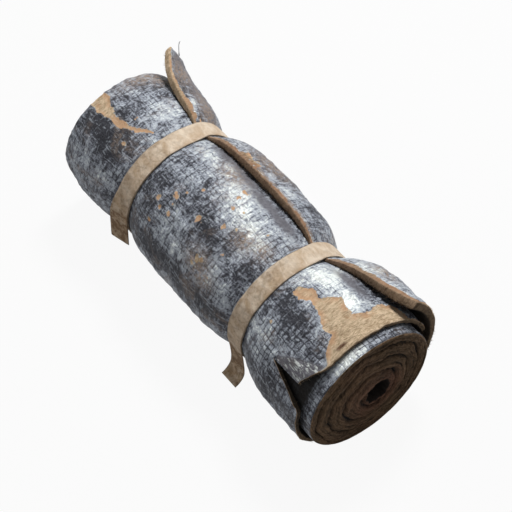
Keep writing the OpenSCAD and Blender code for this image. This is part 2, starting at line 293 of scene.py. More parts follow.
def finishMat(name, s):
    # attribute lay: metres along the fibres, across them, and a number for the layer
    # attribute wear: above 0 where the wool shows, how soiled the wool is (with painted shade in places), and
    # how deep the painted shade of a crevice is
    # attribute tone: how bright or dark the foil is, partly painted highlight and shade, how brown, and how
    # smooth where no scrim shows, which also paints the shadow beside the loose edge
    material, tree, shader, start = startMaterial(name)
    lay, wear, tone = (start.node("ShaderNodeAttribute", {"attribute_name": key}, {}, 1)
                       for key in ("lay", "wear", "tone"))
    bare, soilAndShade, creviceShade = wear.parts()
    zone, brown, plain = tone.parts()

    # scrim: a square grid of threads under the foil, crooked where the foil is crumpled
    push = lay.node("ShaderNodeTexNoise", {}, {"Vector": lay, "Scale": s["crumpleScale"], "Detail": 2.0}, 1)
    crumpled = lay.moved(push, s["crumple"])
    along, across, _ = crumpled.parts()

    def offThread(place):  # 0 midway between two threads, 0.5 on a thread
        return ((place * (1 / s["scrimPitch"])).math("FRACT") - 0.5).math("ABSOLUTE")

    far = offThread(along).math("MAXIMUM", offThread(across))
    shown = lay.grain(0.055, 3, 0.6).between(0.36, 0.60) * (1 - plain)
    scrim = far.between(0.5 - s["scrimWidth"], 0.5) * shown
    pillow = far.between(0.5, 0.12) * shown

    # foil: painted highlights and shade in the base colour, from broad zones, clouds and crumples, scratched
    # round the roll, brightest where they all agree; lighter in the middle of grid cells and on wrinkle
    # crests, painted darker along the folds
    drift = lay.grain(0.095, 3, 0.55, 0.6)
    cloud = crumpled.grain(0.030, 4, 0.6, 0.8)
    strokes = crumpled.scaled(1, s["strokeStretch"], 1).grain(0.024, 4, 0.58, 0.9)
    scratch = crumpled.scaled(s["strokeStretch"], 1, 1).grain(0.024, 4, 0.58, 0.9)
    wrinkle = crumpled.scaled(1.6, 1, 1).grain(0.026, 2, 0.5, 1.0).ridge(7)
    fleck = lay.grain(0.0034, 2, 0.6)
    small = crumpled.scaled(1, 1.8, 1).facets(0.0085)
    swath = crumpled.scaled(1, 1.5, 1).grain(0.055, 4, 0.6, 1.2)
    fold = crumpled.scaled(1, 1.5, 1).grain(0.030, 3, 0.55, 1.6).ridge(16)
    # painted glints where the strokes and scratches peak
    flash = strokes.math("MAXIMUM", scratch).between(0.59, 0.66)
    layers = {"drift": drift, "swath": swath, "cloud": cloud, "strokes": strokes, "scratch": scratch,
              "fleck": fleck, "small": small, "wrinkle": wrinkle, "pillow": pillow}
    lit = {**layers, "zone": zone, "scrim": scrim, "fold": fold.clipped(),
           "wrinkle": wrinkle.clipped(), "pillow": pillow * (0 - plain).clipped()}
    paintedShine = weighed(lit, s["paintedShine"]) - s["paintedShineLevel"]
    foil = paintedShine.between(0.05, 0.36).tint(s["tarnishAndShade"], s["dullFoil"])
    foil = paintedShine.between(0.30, 0.64).tint(foil, s["paleFoil"])
    bright = paintedShine.between(0.64, 1.06)
    foil = bright.tint(foil, s["brightFoil"])
    foil = (flash * 0.55).tint(foil, s["paleFoil"])
    # painted streaks of highlight round the roll
    streak = crumpled.scaled(6, 1, 1).grain(0.06, 3, 0.55, 0.5).between(0.58, 0.66)
    foil = (streak * cloud.between(0.40, 0.56) * 0.6).tint(foil, s["paleFoil"])
    onLip = scratch.between(0.55, 0.61) * plain.between(0.90, 0.98)  # scratches on the torn lip alone
    # smooth dull foil on the torn lip and the rear flap, and painted shadow in the strips beside the loose
    # edge
    foil = plain.clipped().tint(foil, (onLip * 0.7).tint(s["plainFoilAndShadow"], s["brightFoil"]))
    dirt = lay.grain(0.10, 5, 0.66, 0.8).between(0.52, 0.70)
    speckle = lay.grain(0.009, 4, 0.7).between(0.36, 0.56)
    stained = (dirt * 0.45).math("MAXIMUM", brown * 0.95) * speckle * (1 - bright * 0.3)
    foil = stained.tint(foil, s["stain"])
    # painted highlight: a pale line of bright foil along the torn edges of the foil
    rim = bare.between(-0.16, -0.05) * lay.grain(0.012, 2, 0.5).between(0.45, 0.60)
    foil = (rim * 0.45).tint(foil, s["brightFoil"])

    # wool: fine streaks along the fibres, rusty towards the torn foil, darker where it is soiled, and where
    # painted shade is added through the soil
    fibres = crumpled.scaled(1, 3.6, 1).grain(0.012, 5, 0.70, 0.9)
    tufts = crumpled.scaled(1, 1.8, 1).grain(0.034, 3, 0.6, 0.5)
    strand = (fibres * 4.2 + tufts * 1.8 - 2.35).clipped()
    cleanWool = strand.tint(s["midWool"], s["paleWool"])
    rusty = lay.grain(0.045, 3, 0.6).between(0.40, 0.54) * bare.between(1.1, 0.1)
    cleanWool = (rusty * 0.85).tint(cleanWool, s["rustWool"])
    reddish = strand.tint(s["redDark"], s["redWool"])
    soiled = brown.clipped().tint(strand.tint(s["soiledDark"], s["soiledWool"]), reddish)
    wool = soilAndShade.clipped().tint(cleanWool, soiled)

    # ragged line where the foil is torn off, and painted black shade in the hollows
    ragged = lay.grain(0.008, 4, 0.7)
    worn = (bare + (ragged - 0.5) * 0.60).between(-0.03, 0.03)
    colour = worn.tint(foil, wool)
    colour = (creviceShade * 0.96).clipped().tint(colour, s["hollowShade"])
    height = (weighed(layers, s["foilRelief"]) * (1 - worn)
              + weighed({"fibres": fibres, "tufts": tufts}, s["woolRelief"]) * worn)
    bump = start.node("ShaderNodeBump", {}, {
        "Strength": s["bumpStrength"], "Distance": s["bump"], "Height": height})
    covered = (1 - worn) * (1 - creviceShade).clipped()
    feed(tree, shader, {
        "Base Color": colour, "Normal": bump, "Specular IOR Level": s["gloss"],
        "Roughness": s["woolRough"] - (s["foilSmooth"] + bright * s["brightSmooth"]) * covered,
        "Metallic": (s["foilMetal"] + bright * s["brightMetal"]) * covered})
    return material


# rolled mat: one closed surface, front face, side, rear face and bore, with a spiral on both faces

innerRoll = {
    "roundSteps": 380, "faceSteps": 112, "sideSteps": 84, "rearSteps": 40, "boreSteps": 12,
    "turns": 7, "tighten": 1.35, "spiralFrom": 200, "strongGroove": 9, "weakGroove": 3.5,
    "grooveWidth": 0.13, "dome": 3, "fibreRelief": 1.2, "layerRelief": 1.6, "boreRagged": 6, "boreDip": 4,
    # boreDark: how far the painted shade at the bore reaches; coveredFrom: where painted shade starts on the
    # side under the wrap
    "boreShare": 0.05, "rimShare": 0.03, "boreDark": 0.014, "redMiddle": 0.30,
    "crinkle": 1.0, "coveredFrom": 474, "ringGrid": -0.9, "fill": 0.8,
    # bright and dark stretches of the foil that shows round the front end: angle, half width and amount;
    # painted highlight and shade, lighter near the top and darker on the left side and at 70 degrees
    "ringZones": [(108, 16, 1.5), (168, 34, -0.7), (70, 14, -0.4)],
}


def buildInnerRoll(s, material):
    # profile: t goes from 0 at the bore to 1 at the rim, and carries the centre from bore to roll middle
    # onFace is 1 on the front face, -1 on the rear face and 0 between them
    edge = roll["end"] - roll["endRound"]
    corner = np.linspace(0, np.pi / 2, 6)[1:-1]
    faceT = np.linspace(0, 1, s["faceSteps"])
    rearT = np.linspace(1, 0, s["rearSteps"])
    sideX = np.linspace(edge, -edge, s["sideSteps"])
    boreX = np.linspace(-roll["end"], roll["end"], s["boreSteps"])[1:-1]
    frontRim = rollRadius(edge) - roll["endRound"]
    rearRim = rollRadius(-edge) - roll["endRound"]
    out, over = roll["endRound"] * np.cos(corner), roll["endRound"] * np.sin(corner)
    profile = np.concatenate([
        joined(faceT, roll["end"], mix(roll["bore"], frontRim, faceT), 1),
        joined(1, edge + out, frontRim + over, 0),
        joined(1, sideX, rollRadius(sideX), 0),
        joined(1, -edge - over, rearRim + out, 0),
        joined(rearT, -roll["end"], mix(roll["bore"], rearRim, rearT), -1),
        joined(0, boreX, roll["bore"], 0)])
    t, x, radius, onFace = (v[:, None] for v in profile.T)
    angle = np.linspace(-90, 270, s["roundSteps"], endpoint=False)[None, :]
    turn = np.radians(angle)
    middle = t[..., None] * rollMiddle
    plain = joined(x, middle[..., 0] + radius * np.cos(turn), middle[..., 1] + radius * np.sin(turn))

    # spiral: the count of turns at t, less two for each time round; even counts are deep gaps
    count = s["turns"] * (1 - (1 - t) ** (1 / s["tighten"]))
    wobble = 0.50 * noise(plain, 62, 3) + 0.20 * noise(plain, 21, 4) + 0.07 * noise(plain, 8, 12)
    phase = count + wobble - 2 * (angle - s["spiralFrom"]) / 360
    offEven = np.abs((phase + 1) % 2 - 1)
    offOdd = np.abs(phase % 2 - 1)
    varied = 0.75 + 0.6 * noise(plain, 70, 5)
    fromRim = ease((1 - t) / s["rimShare"])
    inside = ease(t / s["boreShare"]) * fromRim * np.abs(onFace)
    strong = np.exp(-(offEven / (s["grooveWidth"] * (0.7 + varied))) ** 2) * share(varied + 0.25)
    weak = np.exp(-(offOdd / (0.6 * s["grooveWidth"])) ** 2) * share(varied)
    dome = s["dome"] * (1 - np.sin(np.pi * offEven / 2))
    depth = inside * (s["strongGroove"] * strong + s["weakGroove"] * weak + dome)
    fuzz = s["fibreRelief"] * (noise(plain, 9, 6) + noise(plain, 4, 7))
    depth = depth + np.abs(onFace) * fuzz * fromRim
    layers = noise(joined(phase * 16, turn * 5, 0 * phase), 3, 13)
    depth = depth + inside * s["layerRelief"] * layers + np.abs(onFace) * s["boreDip"] * np.exp(-t / 0.03)
    points = plain.copy()
    points[..., 0] -= np.sign(onFace) * depth

    # the bore's ragged edge, and small creases of the foil on the side
    outward = joined(0 * turn, np.cos(turn), np.sin(turn))
    ragged = 0.7 * s["boreRagged"] * (noise(plain, 26, 8) + noise(plain, 8, 9) - 1) * np.exp(-t / 0.06)
    ragged = ragged * (1 - 0.8 * ease((roll["end"] - 30 - np.abs(x)) / 40))
    onSide = (1 - np.abs(onFace)) * (t == 1)
    creases = s["crinkle"] * (crease(plain, 34, 10) - 0.6 + 0.5 * noise(plain, 12, 11)) * onSide
    points += outward * (ragged + np.minimum(creases, 0.2))[..., None]

    # surface coordinates: along the fibres round the roll, across them, and the layer
    radial = t * 150 + (np.abs(x) - roll["end"]) * (t == 1)
    lay = joined(turn * np.maximum(radius, 60), np.where(onFace == 0, x, radial), onFace * 40)
    wool = np.where(np.abs(x) > edge + 3, 1.0, -1.0) + 2 * (t < 1)
    hollowShade = share((roll["end"] - np.abs(x)) / 6) * (t == 0)
    behind = ease((s["coveredFrom"] - x) / 12) * (t == 1)
    # painted shade: black in the spiral's gaps and between its layers, on the bore's wall and at its edge,
    # and on the side where the wrap covers it
    creviceShade = inside * (0.95 * np.maximum(strong, 0.6 * weak) + 0.38 * share(layers * 1.6))
    creviceShade = joined(creviceShade, hollowShade, np.exp(-t / s["boreDark"]), behind).max(axis=-1)
    wear = joined(wool, 0 * turn + 1, creviceShade)
    lit = sum(much * np.exp(-((angle - at) / wide) ** 2) for at, wide, much in s["ringZones"])
    reddish = np.abs(onFace) * share(0.9 * np.exp(-(t / s["redMiddle"]) ** 2) + 0.5 * noise(plain, 48, 14))
    tone = joined(lit * (onFace == 0), reddish, (onFace == 0) * s["ringGrid"])
    faces = gridFaces(plain.shape[0], plain.shape[1], True, True)
    return makePiece("innerRoll", points, faces, {"lay": lay * metre, "wear": wear, "tone": tone}, material)


# outer wrap: a thick sheet wound once and a bit, with its lifted loose edge and the tear

outerWrap = {
    "thick": 12, "tied": 9, "lapThick": 22, "mouthThick": 27, "sag": 8, "front": 468, "rear": -532,
    "start": 15, "end": 420, "liftSpan": 130, "climbFrom": 260, "climbTo": 365,
    "lapSwell": 7, "mouthSwell": 17, "cornerSwell": 21, "mouthClose": 0.88, "swellBend": 2.4,
    "liftMiddle": 4, "liftFront": 31, "liftRear": 69, "openFront": 8, "openRear": 10,
    "cornerRise": 3.4, "cornerSpread": 2.7, "cornerOpen": 3, "cornerBend": 5.8,
    "mouthRise": 2.7, "mouthBend": 3,
    "tearAngle": 147, "tearLip": 0.5, "tearLength": 125, "tearGape": 18, "cornerBack": 30,
    "cornerReach": 24, "cornerCurl": 40, "cornerLift": 5, "lipBulge": 1, "lipReach": 60,
    "tiedGap": 0.6, "slackGap": 1, "arcRadius": 188, "floorAt": 270, "fill": 0.4,
    "upperSteps": 120, "gapeSteps": 16, "lowerSteps": 180, "longSteps": 221, "innerStride": 5,
    "rimSteps": 5, "edgeSteps": 9,
    # relief: creases of the foil, ragged ends, how far bare wool is sunk, curled rims of foil and loose wool
    "crinkle": 2.2, "ragged": 4, "sunk": 2.2, "curled": 1.2, "fuzz": 1.1,
    # how blunt the rims are, as shares of the sheet's thickness, and the tufts of the loose edge
    "rimBlunt": 0.2, "frontBlunt": 0.6, "rearBlunt": 0.2, "edgeBlunt": 0.15, "edgeTufts": 0.9,
    # how far the foil is torn back from the loose edge, behind the front strap and at the front
    "tornBack": (6, 13), "frayed": 4,
    # torn places: how ragged, and the angle where the sheet starts to overlap them
    "patchRagged": (3.5, 2.5), "patchUntil": 300,
    # bare line along the front edge, what is taken off it beside the tear, and the shade in the tear
    "edgeLine": 2, "tornLine": 3.4, "tearLine": (128, 8, 215, 15), "tearShade": (120, 15, 210, 30),
    # soiled and red wool along the loose edge, and how far each reaches from it and fades
    "soilPlaces": (-532, -470, -330, -240, 100, 250, 440),
    "soilOfEdge": (0.0, 0.25, 0.5, 0.75, 0.7, 0.75, 0.6), "soilReach": (24, 10),
    "redPlaces": (-532, -300, -200, 50, 200, 300, 420),
    "redOfEdge": (0.1, 0.5, 1.2, 1.0, 0.9, 0.9, 0.7), "redReach": (16, 8),
    # bright and dark zones of the foil: angle, place, their size round and along, and how bright or dark;
    # partly painted light: the bright ones near the top paint highlight, the dark ones low on the left side
    # (165 to 180 degrees) paint shade
    "zones": [
        (87, 10, 14, 95, 0.9), (77, -90, 9, 60, 0.5), (78, -185, 9, 40, 0.7), (95, 95, 10, 50, 0.8),
        (152, -70, 8, 45, 0.7), (142, 89, 8, 35, 0.6), (91, 165, 8, 30, 0.6), (84, -400, 13, 60, 0.4),
        (76, -350, 11, 40, 0.3), (76, 275, 13, 60, 2.3), (80, 365, 9, 40, 2.0), (145, 240, 7, 60, 1.1),
        (160, 260, 8, 60, 0.9), (413, -375, 5, 24, 1.3), (416, -341, 4, 18, 1.2), (410, -445, 6, 26, -0.8),
        (410, 330, 12, 90, 0.9), (412, -40, 6, 100, 0.7), (135, -110, 14, 70, 0.3), (394, -40, 8, 110, -0.5),
        (119, -40, 10, 40, -0.9), (124, 0, 8, 35, -0.8), (124, -216, 10, 40, -0.7), (140, -200, 10, 50, -0.5),
        (124, 118, 12, 40, -0.5), (119, -117, 8, 35, -0.5), (169, 0, 11, 300, -1.7), (166, -120, 8, 60, -0.6),
        (125, -440, 14, 75, -1.9), (117, -400, 7, 35, -1.6), (125, -360, 8, 40, -0.6),
        (417, -430, 9, 50, -0.9), (418, -361, 9, 40, -0.8), (417, -305, 8, 40, -0.7), (115, 272, 9, 45, -0.8),
        (129, 315, 9, 45, -0.2), (180, 380, 12, 120, -0.9), (116, 330, 7, 30, -0.7), (132, 355, 8, 30, -0.5)],
    # brown stains in the same way, without the amount
    "browned": [
        (66, -512, 26, 26), (54, -490, 12, 30), (104, 66, 10, 40), (100, 114, 8, 30), (143, 11, 10, 42),
        (150, 48, 8, 36), (74, -111, 8, 50), (408, -470, 14, 45), (398, -340, 12, 90), (398, -100, 14, 70),
        (405, 330, 8, 40)],
    # smooth dull strips beside the loose edge, painted there as the shadow of the lifted edge, and on the
    # rear flap, and places where the grid stands out
    "smoothAndShaded": [
        (63, -165, 5, 55), (65, -90, 5, 60), (69, 5, 5, 60), (70, 80, 5, 45), (66, 320, 4, 55),
        (396, -410, 7, 100), (406, -505, 8, 40)],
    "gridded": [(140, 320, 26, 90), (120, 400, 12, 40), (160, 340, 30, 90)],
    "stripGain": 1.5, "stripMost": 0.88, "gridGain": 0.9, "lipSoft": 7,
    # a slit in the bare wool, painted dark as its shade with brown and soiled wool: angle, place and its size
    # round and along
    "gash": (107, 450, 5, 5),
    # small places where the foil is pitted through: angle, place and radius
    "spots": [
        (118, -155, 8), (101, -115, 4), (130, -189, 5), (135, -168, 4), (126, -140, 4), (134, -136, 6),
        (149, -178, 5), (119, -61, 9), (109, 0, 8), (95, -24, 6), (90, 5, 6), (85, 5, 4), (85, -42, 6),
        (77, -44, 8), (125, 53, 5), (131, 271, 4), (143, 8, 9), (140, 17, 5), (146, -2, 6), (139, 0, 4),
        (112, -140, 3), (104, 30, 3), (421, -414, 4), (413, -320, 4), (416, -146, 13), (415, -131, 15),
        (416, -114, 13), (416, -99, 9), (418, -378, 8), (418, -362, 9), (418, -347, 9), (418, -333, 8),
        (100, -400, 5), (122, -370, 4), (146, 60, 3), (88, 90, 4)],
}
# outlines of the places where the foil is torn off: angle round the roll, place along it
frontPatch = [
    (106, 259), (100, 253), (92.5, 278), (93, 304), (95, 314), (81, 348), (84, 372), (85, 398), (77, 414),
    (62, 405), (49, 424), (42, 490), (126, 490), (120, 442), (106, 411), (108, 390), (103, 345),
    (100, 308), (106, 284)]
tornLip = [(143, 340), (133, 392), (122, 470), (160, 470), (160, 340)]  # the smooth lip above the tear
rearStreak = [
    (103, -507), (105, -550), (119, -550), (120, -495), (116, -451), (117, -419), (112, -395), (108, -368),
    (98, -340), (107, -388), (110, -426), (112, -447), (109, -468), (109, -482)]


def wrapLap(a, s):  # share of the way over the lifting stretch
    return share((a - s["end"] + s["liftSpan"]) / s["liftSpan"])


def wrapShares(x, s):  # shares of the way to the rear end, between the straps and to the front end
    rearSeat, frontSeat = tie["places"][0] - tie["seatHalf"], tie["places"][1] + tie["seatHalf"]
    inner = (tie["places"][0] + tie["seatHalf"], tie["places"][1] - tie["seatHalf"])
    return (share((rearSeat - x) / (rearSeat - s["rear"])),
            share((x - inner[0]) / (inner[1] - inner[0])),
            share((x - frontSeat) / (s["front"] - frontSeat)))


def wrapLift(x, a, s):
    # a swell that comes down again at the loose edge, a curled rear corner, a bow and a front mouth
    lap = wrapLap(a, s)
    rear, middle, front = wrapShares(x, s)
    free = 1 - pinch(x)
    swell = np.where(x < tie["places"][0], s["cornerSwell"] * rear ** s["cornerSpread"],
                     np.where(x < tie["places"][1], s["lapSwell"] * free,
                              s["mouthSwell"] * free * (1 - s["mouthClose"] * front ** 3)))
    return (swell * np.sin(np.pi * lap ** s["swellBend"])
            + s["liftRear"] * rear ** s["cornerRise"] * lap ** s["cornerBend"]
            + s["liftMiddle"] * np.sin(np.pi * middle) * lap ** s["mouthBend"]
            + s["liftFront"] * front ** s["mouthRise"] * lap ** s["mouthBend"])


def wrapOpening(x, a, s):  # angle by which the lifted edge is drawn back, growing towards both ends
    rear, _, front = wrapShares(x, s)
    return wrapLap(a, s) * (s["openRear"] * rear ** s["cornerOpen"] + s["openFront"] * front)


def wrapTorn(x, a, s):  # curl of the torn corner above the tear, bulge below it
    tip = s["front"] - s["tearLength"]
    above = (s["cornerLift"] * ease((a - s["tearAngle"] + s["cornerCurl"]) / s["cornerCurl"])
             * share((x - tip) / (s["tearLength"] - s["cornerBack"])))
    below = (s["lipBulge"] * (1 - ease((a - s["tearAngle"] - s["tearGape"]) / s["lipReach"]))
             * ease((x - tip + s["lipReach"]) / s["lipReach"]))
    return np.where(a < s["tearAngle"], above, below)


def wrapThick(x, a, s):
    # thin under a strap, and growing with the square of the lap to the loose edge's thickness
    edge = mix(s["lapThick"], s["mouthThick"], wrapShares(x, s)[2])
    return mix(mix(s["thick"], edge, wrapLap(a, s) ** 2), s["tied"], pinch(x))


def wrapRadius(x, a, s):
    # the roll's radius and a gap, the turn that the sheet climbs over, its sag at the sides, and its lifts
    gap = s["tiedGap"] + s["slackGap"] * (1 - pinch(x))
    climb = ease((a - s["climbFrom"]) / (s["climbTo"] - s["climbFrom"]))
    return (rollRadius(x) + gap + (wrapThick(x, s["start"], s) + gap) * climb
            + s["sag"] * (1 - pinch(x)) * np.cos(np.radians(a)) ** 2
            + wrapLift(x, a, s) + wrapTorn(x, a, s))


def wrapFrontEdge(a, s):
    # drawn back gradually at the torn corner, and straight back to the tip of the tear below it
    back = s["cornerBack"] * ease((a - s["tearAngle"] + s["cornerReach"]) / s["cornerReach"])
    gape = s["tearLength"] * (1 - share((a - s["tearAngle"] - s["tearLip"]) / s["tearGape"]))
    return s["front"] - np.where(a < s["tearAngle"], back, gape)


def wrapSurface(x, a, s):  # inner points, outward direction and thickness of the sheet
    radius = wrapRadius(x, a, s)
    slope = (wrapLift(x, a, s) - wrapLift(x, a - 1, s)) * 180 / np.pi / radius
    opened = a - wrapOpening(x, a, s)
    normal = np.radians(opened) - np.arctan(slope)
    outward = joined(0 * normal, np.cos(normal), np.sin(normal))
    return turned(x, radius, opened), outward, wrapThick(x, a, s)


def insideOutline(a, x, outline, arcRadius):
    # signed distance to a closed outline on the unrolled sheet, above 0 inside it
    scale = np.array([np.radians(1) * arcRadius, 1.0])
    corners = np.array(outline, dtype=float) * scale
    place = joined(a, x) * scale
    nearest, crossings = np.full(place.shape[:-1], 1e9), np.zeros(place.shape[:-1])
    for p, q in zip(corners, np.roll(corners, -1, axis=0)):
        side, away = q - p, place - p
        along = share((away @ side) / (side @ side))
        nearest = np.minimum(nearest, np.linalg.norm(away - along[..., None] * side, axis=-1))
        spans = (p[1] > place[..., 1]) != (q[1] > place[..., 1])
        meet = p[0] + (place[..., 1] - p[1]) * (q[0] - p[0]) / (q[1] - p[1] + 1e-9)
        crossings += spans & (place[..., 0] < meet)
    return np.where(crossings % 2 == 1, nearest, -nearest)


def buildOuterWrap(s, material):
    # angles above the tear, across its gape and below it
    torn = s["tearAngle"] + s["tearLip"]
    a = np.concatenate([
        np.linspace(s["start"], s["tearAngle"] - s["tearLip"], s["upperSteps"]),
        np.linspace(torn, torn + s["tearGape"], s["gapeSteps"]),
        np.linspace(torn + s["tearGape"], s["end"], s["lowerSteps"])[1:]])[:, None]

    # places along the sheet: fixed behind the front strap, drawn to the torn front edge before it
    flat = np.concatenate([np.radians(a) * s["arcRadius"], 0 * a, 0 * a], axis=-1)
    rough = s["ragged"] * (0.5 + 0.35 * noise(flat, 38, 21) + 0.3 * noise(flat, 11, 22))[:, None]
    rear = s["rear"] + 0.5 * rough
    front = wrapFrontEdge(a, s) - rough
    bend = tie["places"][1] + tie["seatHalf"]
    v = np.linspace(0, 1, s["longSteps"])[None, :]
    split = (bend - s["rear"]) / (s["front"] - s["rear"])
    x = np.where(v < split, mix(rear, bend, v / split), mix(bend, front, (v - split) / (1 - split)))
    a = np.broadcast_to(a, x.shape)
    inner, outward, thick = wrapSurface(x, a, s)
    sheet = joined(np.radians(a) * s["arcRadius"], x, 0 * x)
    free = 1 - pinch(x)

    # where the wool shows: torn patches, the loose edge and a thin line along the front edge
    toEdge = np.radians(s["end"] - a) * s["arcRadius"]
    patches = np.maximum(*(insideOutline(a, x, outline, s["arcRadius"])
                           for outline in (frontPatch, rearStreak)))
    coarse, fine = s["patchRagged"]
    patches = patches + coarse * noise(sheet, 17, 36) + fine * noise(sheet, 7, 37)
    patches = np.where(a < s["patchUntil"], patches, -99)
    tornBack = mix(s["tornBack"][0], s["tornBack"][1], wrapShares(x, s)[2] ** 0.5 * free)
    drawnOut = sheet * [0.5, 1, 1]
    frayed = tornBack + s["frayed"] * (noise(drawnOut, 26, 28) + noise(drawnOut, 60, 29))
    edgeLine = s["edgeLine"] - s["tornLine"] * stretch(a, *s["tearLine"])
    edges = np.maximum(frayed - toEdge, edgeLine - (front - x))
    bare = np.maximum(patches, edges)
    for at, place, size in s["spots"]:
        away = np.hypot(np.radians(a - at) * s["arcRadius"], x - place)
        bare = np.maximum(bare, 0.9 * size - away + size * noise(sheet, 7, 30))

    # creased foil, calm under the straps and sunk where it is torn off, with a curled rim round the patches
    # lying is 1 where the roll lies on the floor, and no crease stands out there
    creases = (0.9 * crease(sheet, 46, 23) + 0.6 * crease(sheet * [1, 1.6, 1], 21, 24)
               + 0.4 * noise(sheet, 10, 25) - 0.9)
    lying = ease((np.cos(np.radians(a - s["floorAt"])) - 0.85) / 0.1)
    creases = s["crinkle"] * np.minimum(creases, 0.5 * (1 - lying)) * free ** 1.5
    sunk = s["curled"] * np.exp(-((bare + 2) / 3) ** 2) * (1 - lying) - s["sunk"] * share(bare / 4)
    fuzz = s["fuzz"] * noise(sheet * [0.35, 2.2, 1], 9, 26) * share(bare / 3)
    outer = inner + outward * (thick + creases * (bare < 0) + (sunk + fuzz) * free)[..., None]

    # one closed loop for each angle: outer face, front rim, inner face, rear rim
    w = np.linspace(0, 1, s["rimSteps"] + 2)[1:-1][None, :]
    blunt = s["rimBlunt"] * np.sqrt(1 - np.abs(2 * w - 1) ** 5)
    along = np.array([1.0, 0, 0])

    def rim(start, stop, push, depth):  # straight from face to face, with a blunt bulge along the roll
        bulge = (blunt * depth[:, None])[..., None] * along * push
        return mix(start[:, None, :], stop[:, None, :], w[..., None]) + bulge

    frontRim = rim(outer[:, -1], inner[:, -1], 1, thick[:, -1] * s["frontBlunt"])
    rearRim = rim(inner[:, 0], outer[:, 0], -1, thick[:, 0] * s["rearBlunt"])
    under = np.arange(s["longSteps"] - 1, -1, -s["innerStride"])
    loops = np.concatenate([outer, frontRim, inner[:, under], rearRim], axis=1)

    # the loose edge and the hidden edge close by thinning the loop to its middle line
    between = (outer + inner) / 2
    rims = [(band + band[:, ::-1]) / 2 for band in (frontRim, rearRim)]
    middle = np.concatenate([between, rims[0], between[:, under], rims[1]], axis=1)

    def closing(k, direction):
        left = np.linspace(1, 0, s["edgeSteps"] + 1)[1:, None, None]
        step = loops[k] - loops[k - direction]
        step = step / (np.linalg.norm(step, axis=-1, keepdims=True) + 1e-9)
        depth = np.linalg.norm(loops[k] - middle[k], axis=-1, keepdims=True).max()
        flat = mix(middle[k], loops[k], left)
        tufts = s["edgeTufts"] * noise(flat * [2.0, 0.7, 0.7], 5, 27)[..., None] * (1 - left)
        return flat + step * np.sqrt(1 - left ** 5) * (s["edgeBlunt"] * depth + tufts)

    points = np.concatenate([closing(0, -1)[::-1], loops, closing(-1, 1)], axis=0)

    # surface coordinates and wear for every loop
    n = s["longSteps"]
    arc = np.radians(a[:, :1]) * s["arcRadius"]
    edgeArc = np.linspace(1, 12, s["edgeSteps"])[:, None]
    arcs = np.concatenate([arc[:1] - edgeArc[::-1], arc, arc[-1:] + edgeArc])
    column = np.arange(points.shape[1])
    isOuter = column < n
    isRim = (column >= n) & (column < n + s["rimSteps"])
    across = points[..., 0]
    last = slice(-s["edgeSteps"], None)  # the loops of the loose edge

    def byPart(outer, rim, rest):  # a value for the outer face, the front rim and all the rest
        return np.where(isOuter, outer, np.where(isRim, rim, rest)) + 0 * across

    lays = joined(arcs, across, byPart(0, 4.0 * (column - n), 30.0))
    bareAll = np.full(points.shape[:2], 40.0)
    bareAll[s["edgeSteps"]:s["edgeSteps"] + len(a), :n] = bare
    # soiled front rim, and the inner face fully soiled with painted shade; soil along the loose edge from the
    # table
    soilAndShade = byPart(0, 0.8, 1)
    soilOfEdge = np.interp(across, s["soilPlaces"], s["soilOfEdge"])
    soilAndShade[last] = soilOfEdge[last]
    atEdge = soilOfEdge * ease((arcs - arc[-1:] + s["soilReach"][0]) / s["soilReach"][1])
    soilAndShade = np.maximum(soilAndShade, np.where(isOuter, 0.9 * atEdge, 0))
    degrees = np.degrees(arcs / s["arcRadius"]) + 0 * across
    inTear = 0.85 * stretch(degrees, *s["tearShade"])
    # painted shade: a little on the front rim and much on the inner face and rear rim, more on the rim in the
    # tear and none at the loose edge
    creviceShade = np.maximum(byPart(0, 0.25, 0.85), np.where(isRim, inTear, 0))
    creviceShade[last] = 0

    def blots(places):  # broad soft blotches on the unrolled sheet
        return np.stack([np.exp(-((degrees - at) / wide) ** 2 - ((across - place) / length) ** 2)
                         for at, place, wide, length in places])

    amounts = np.array([zone[4] for zone in s["zones"]])
    zones = np.tensordot(amounts, blots([zone[:4] for zone in s["zones"]]), 1)
    lip = share(insideOutline(degrees, across, tornLip, s["arcRadius"]) / s["lipSoft"])
    lip = np.where(degrees < s["tearAngle"], lip, 0)
    gash = blots([s["gash"]])[0]
    brown = np.maximum(blots(s["browned"]).max(axis=0), gash)
    redEdge = np.interp(across, s["redPlaces"], s["redOfEdge"])
    redEdge = redEdge * ease((arcs - arc[-1:] + s["redReach"][0]) / s["redReach"][1])
    brown = np.maximum(brown, np.where(isOuter, redEdge, 0))
    brown[last] = np.maximum(brown, redEdge)[last]
    # strips: painted shadow beside the loose edge and smooth foil on the rear flap, then the smooth lip with
    # them
    strips = s["stripMost"] * share(s["stripGain"] * blots(s["smoothAndShaded"]).max(axis=0))
    smoothAndShaded = np.maximum(lip, strips)
    plain = smoothAndShaded - s["gridGain"] * blots(s["gridded"]).max(axis=0) * (1 - smoothAndShaded)
    tone = joined(zones, brown, plain)
    wear = joined(bareAll / 20, np.maximum(soilAndShade, share(2.2 * gash - 0.4)), creviceShade)
    faces = gridFaces(points.shape[0], points.shape[1], False, True)
    attributes = {"lay": lays * metre, "wear": wear, "tone": tone}
    return makePiece("outerWrap", points, faces, attributes, material)


# loose fibres that stand out of the wrap's torn and cut edges, each a thin spindle

woolFringe = {
    "loose": 2600, "front": 900, "rear": 260, "length": (2.5, 9), "thick": 0.35, "seed": 51,
    "inset": 2, "stray": 0.55, "curl": 0.5, "droop": 0.3, "clearHalf": 35,
    # thicker, longer tufts under the loose edge, from this place to the front, more soiled and painted darker
    # as shade
    "tuftThick": 0.60, "tuftLength": 1.9, "dark": 0.8, "tuftFrom": -400, "tuftOver": 60,
}


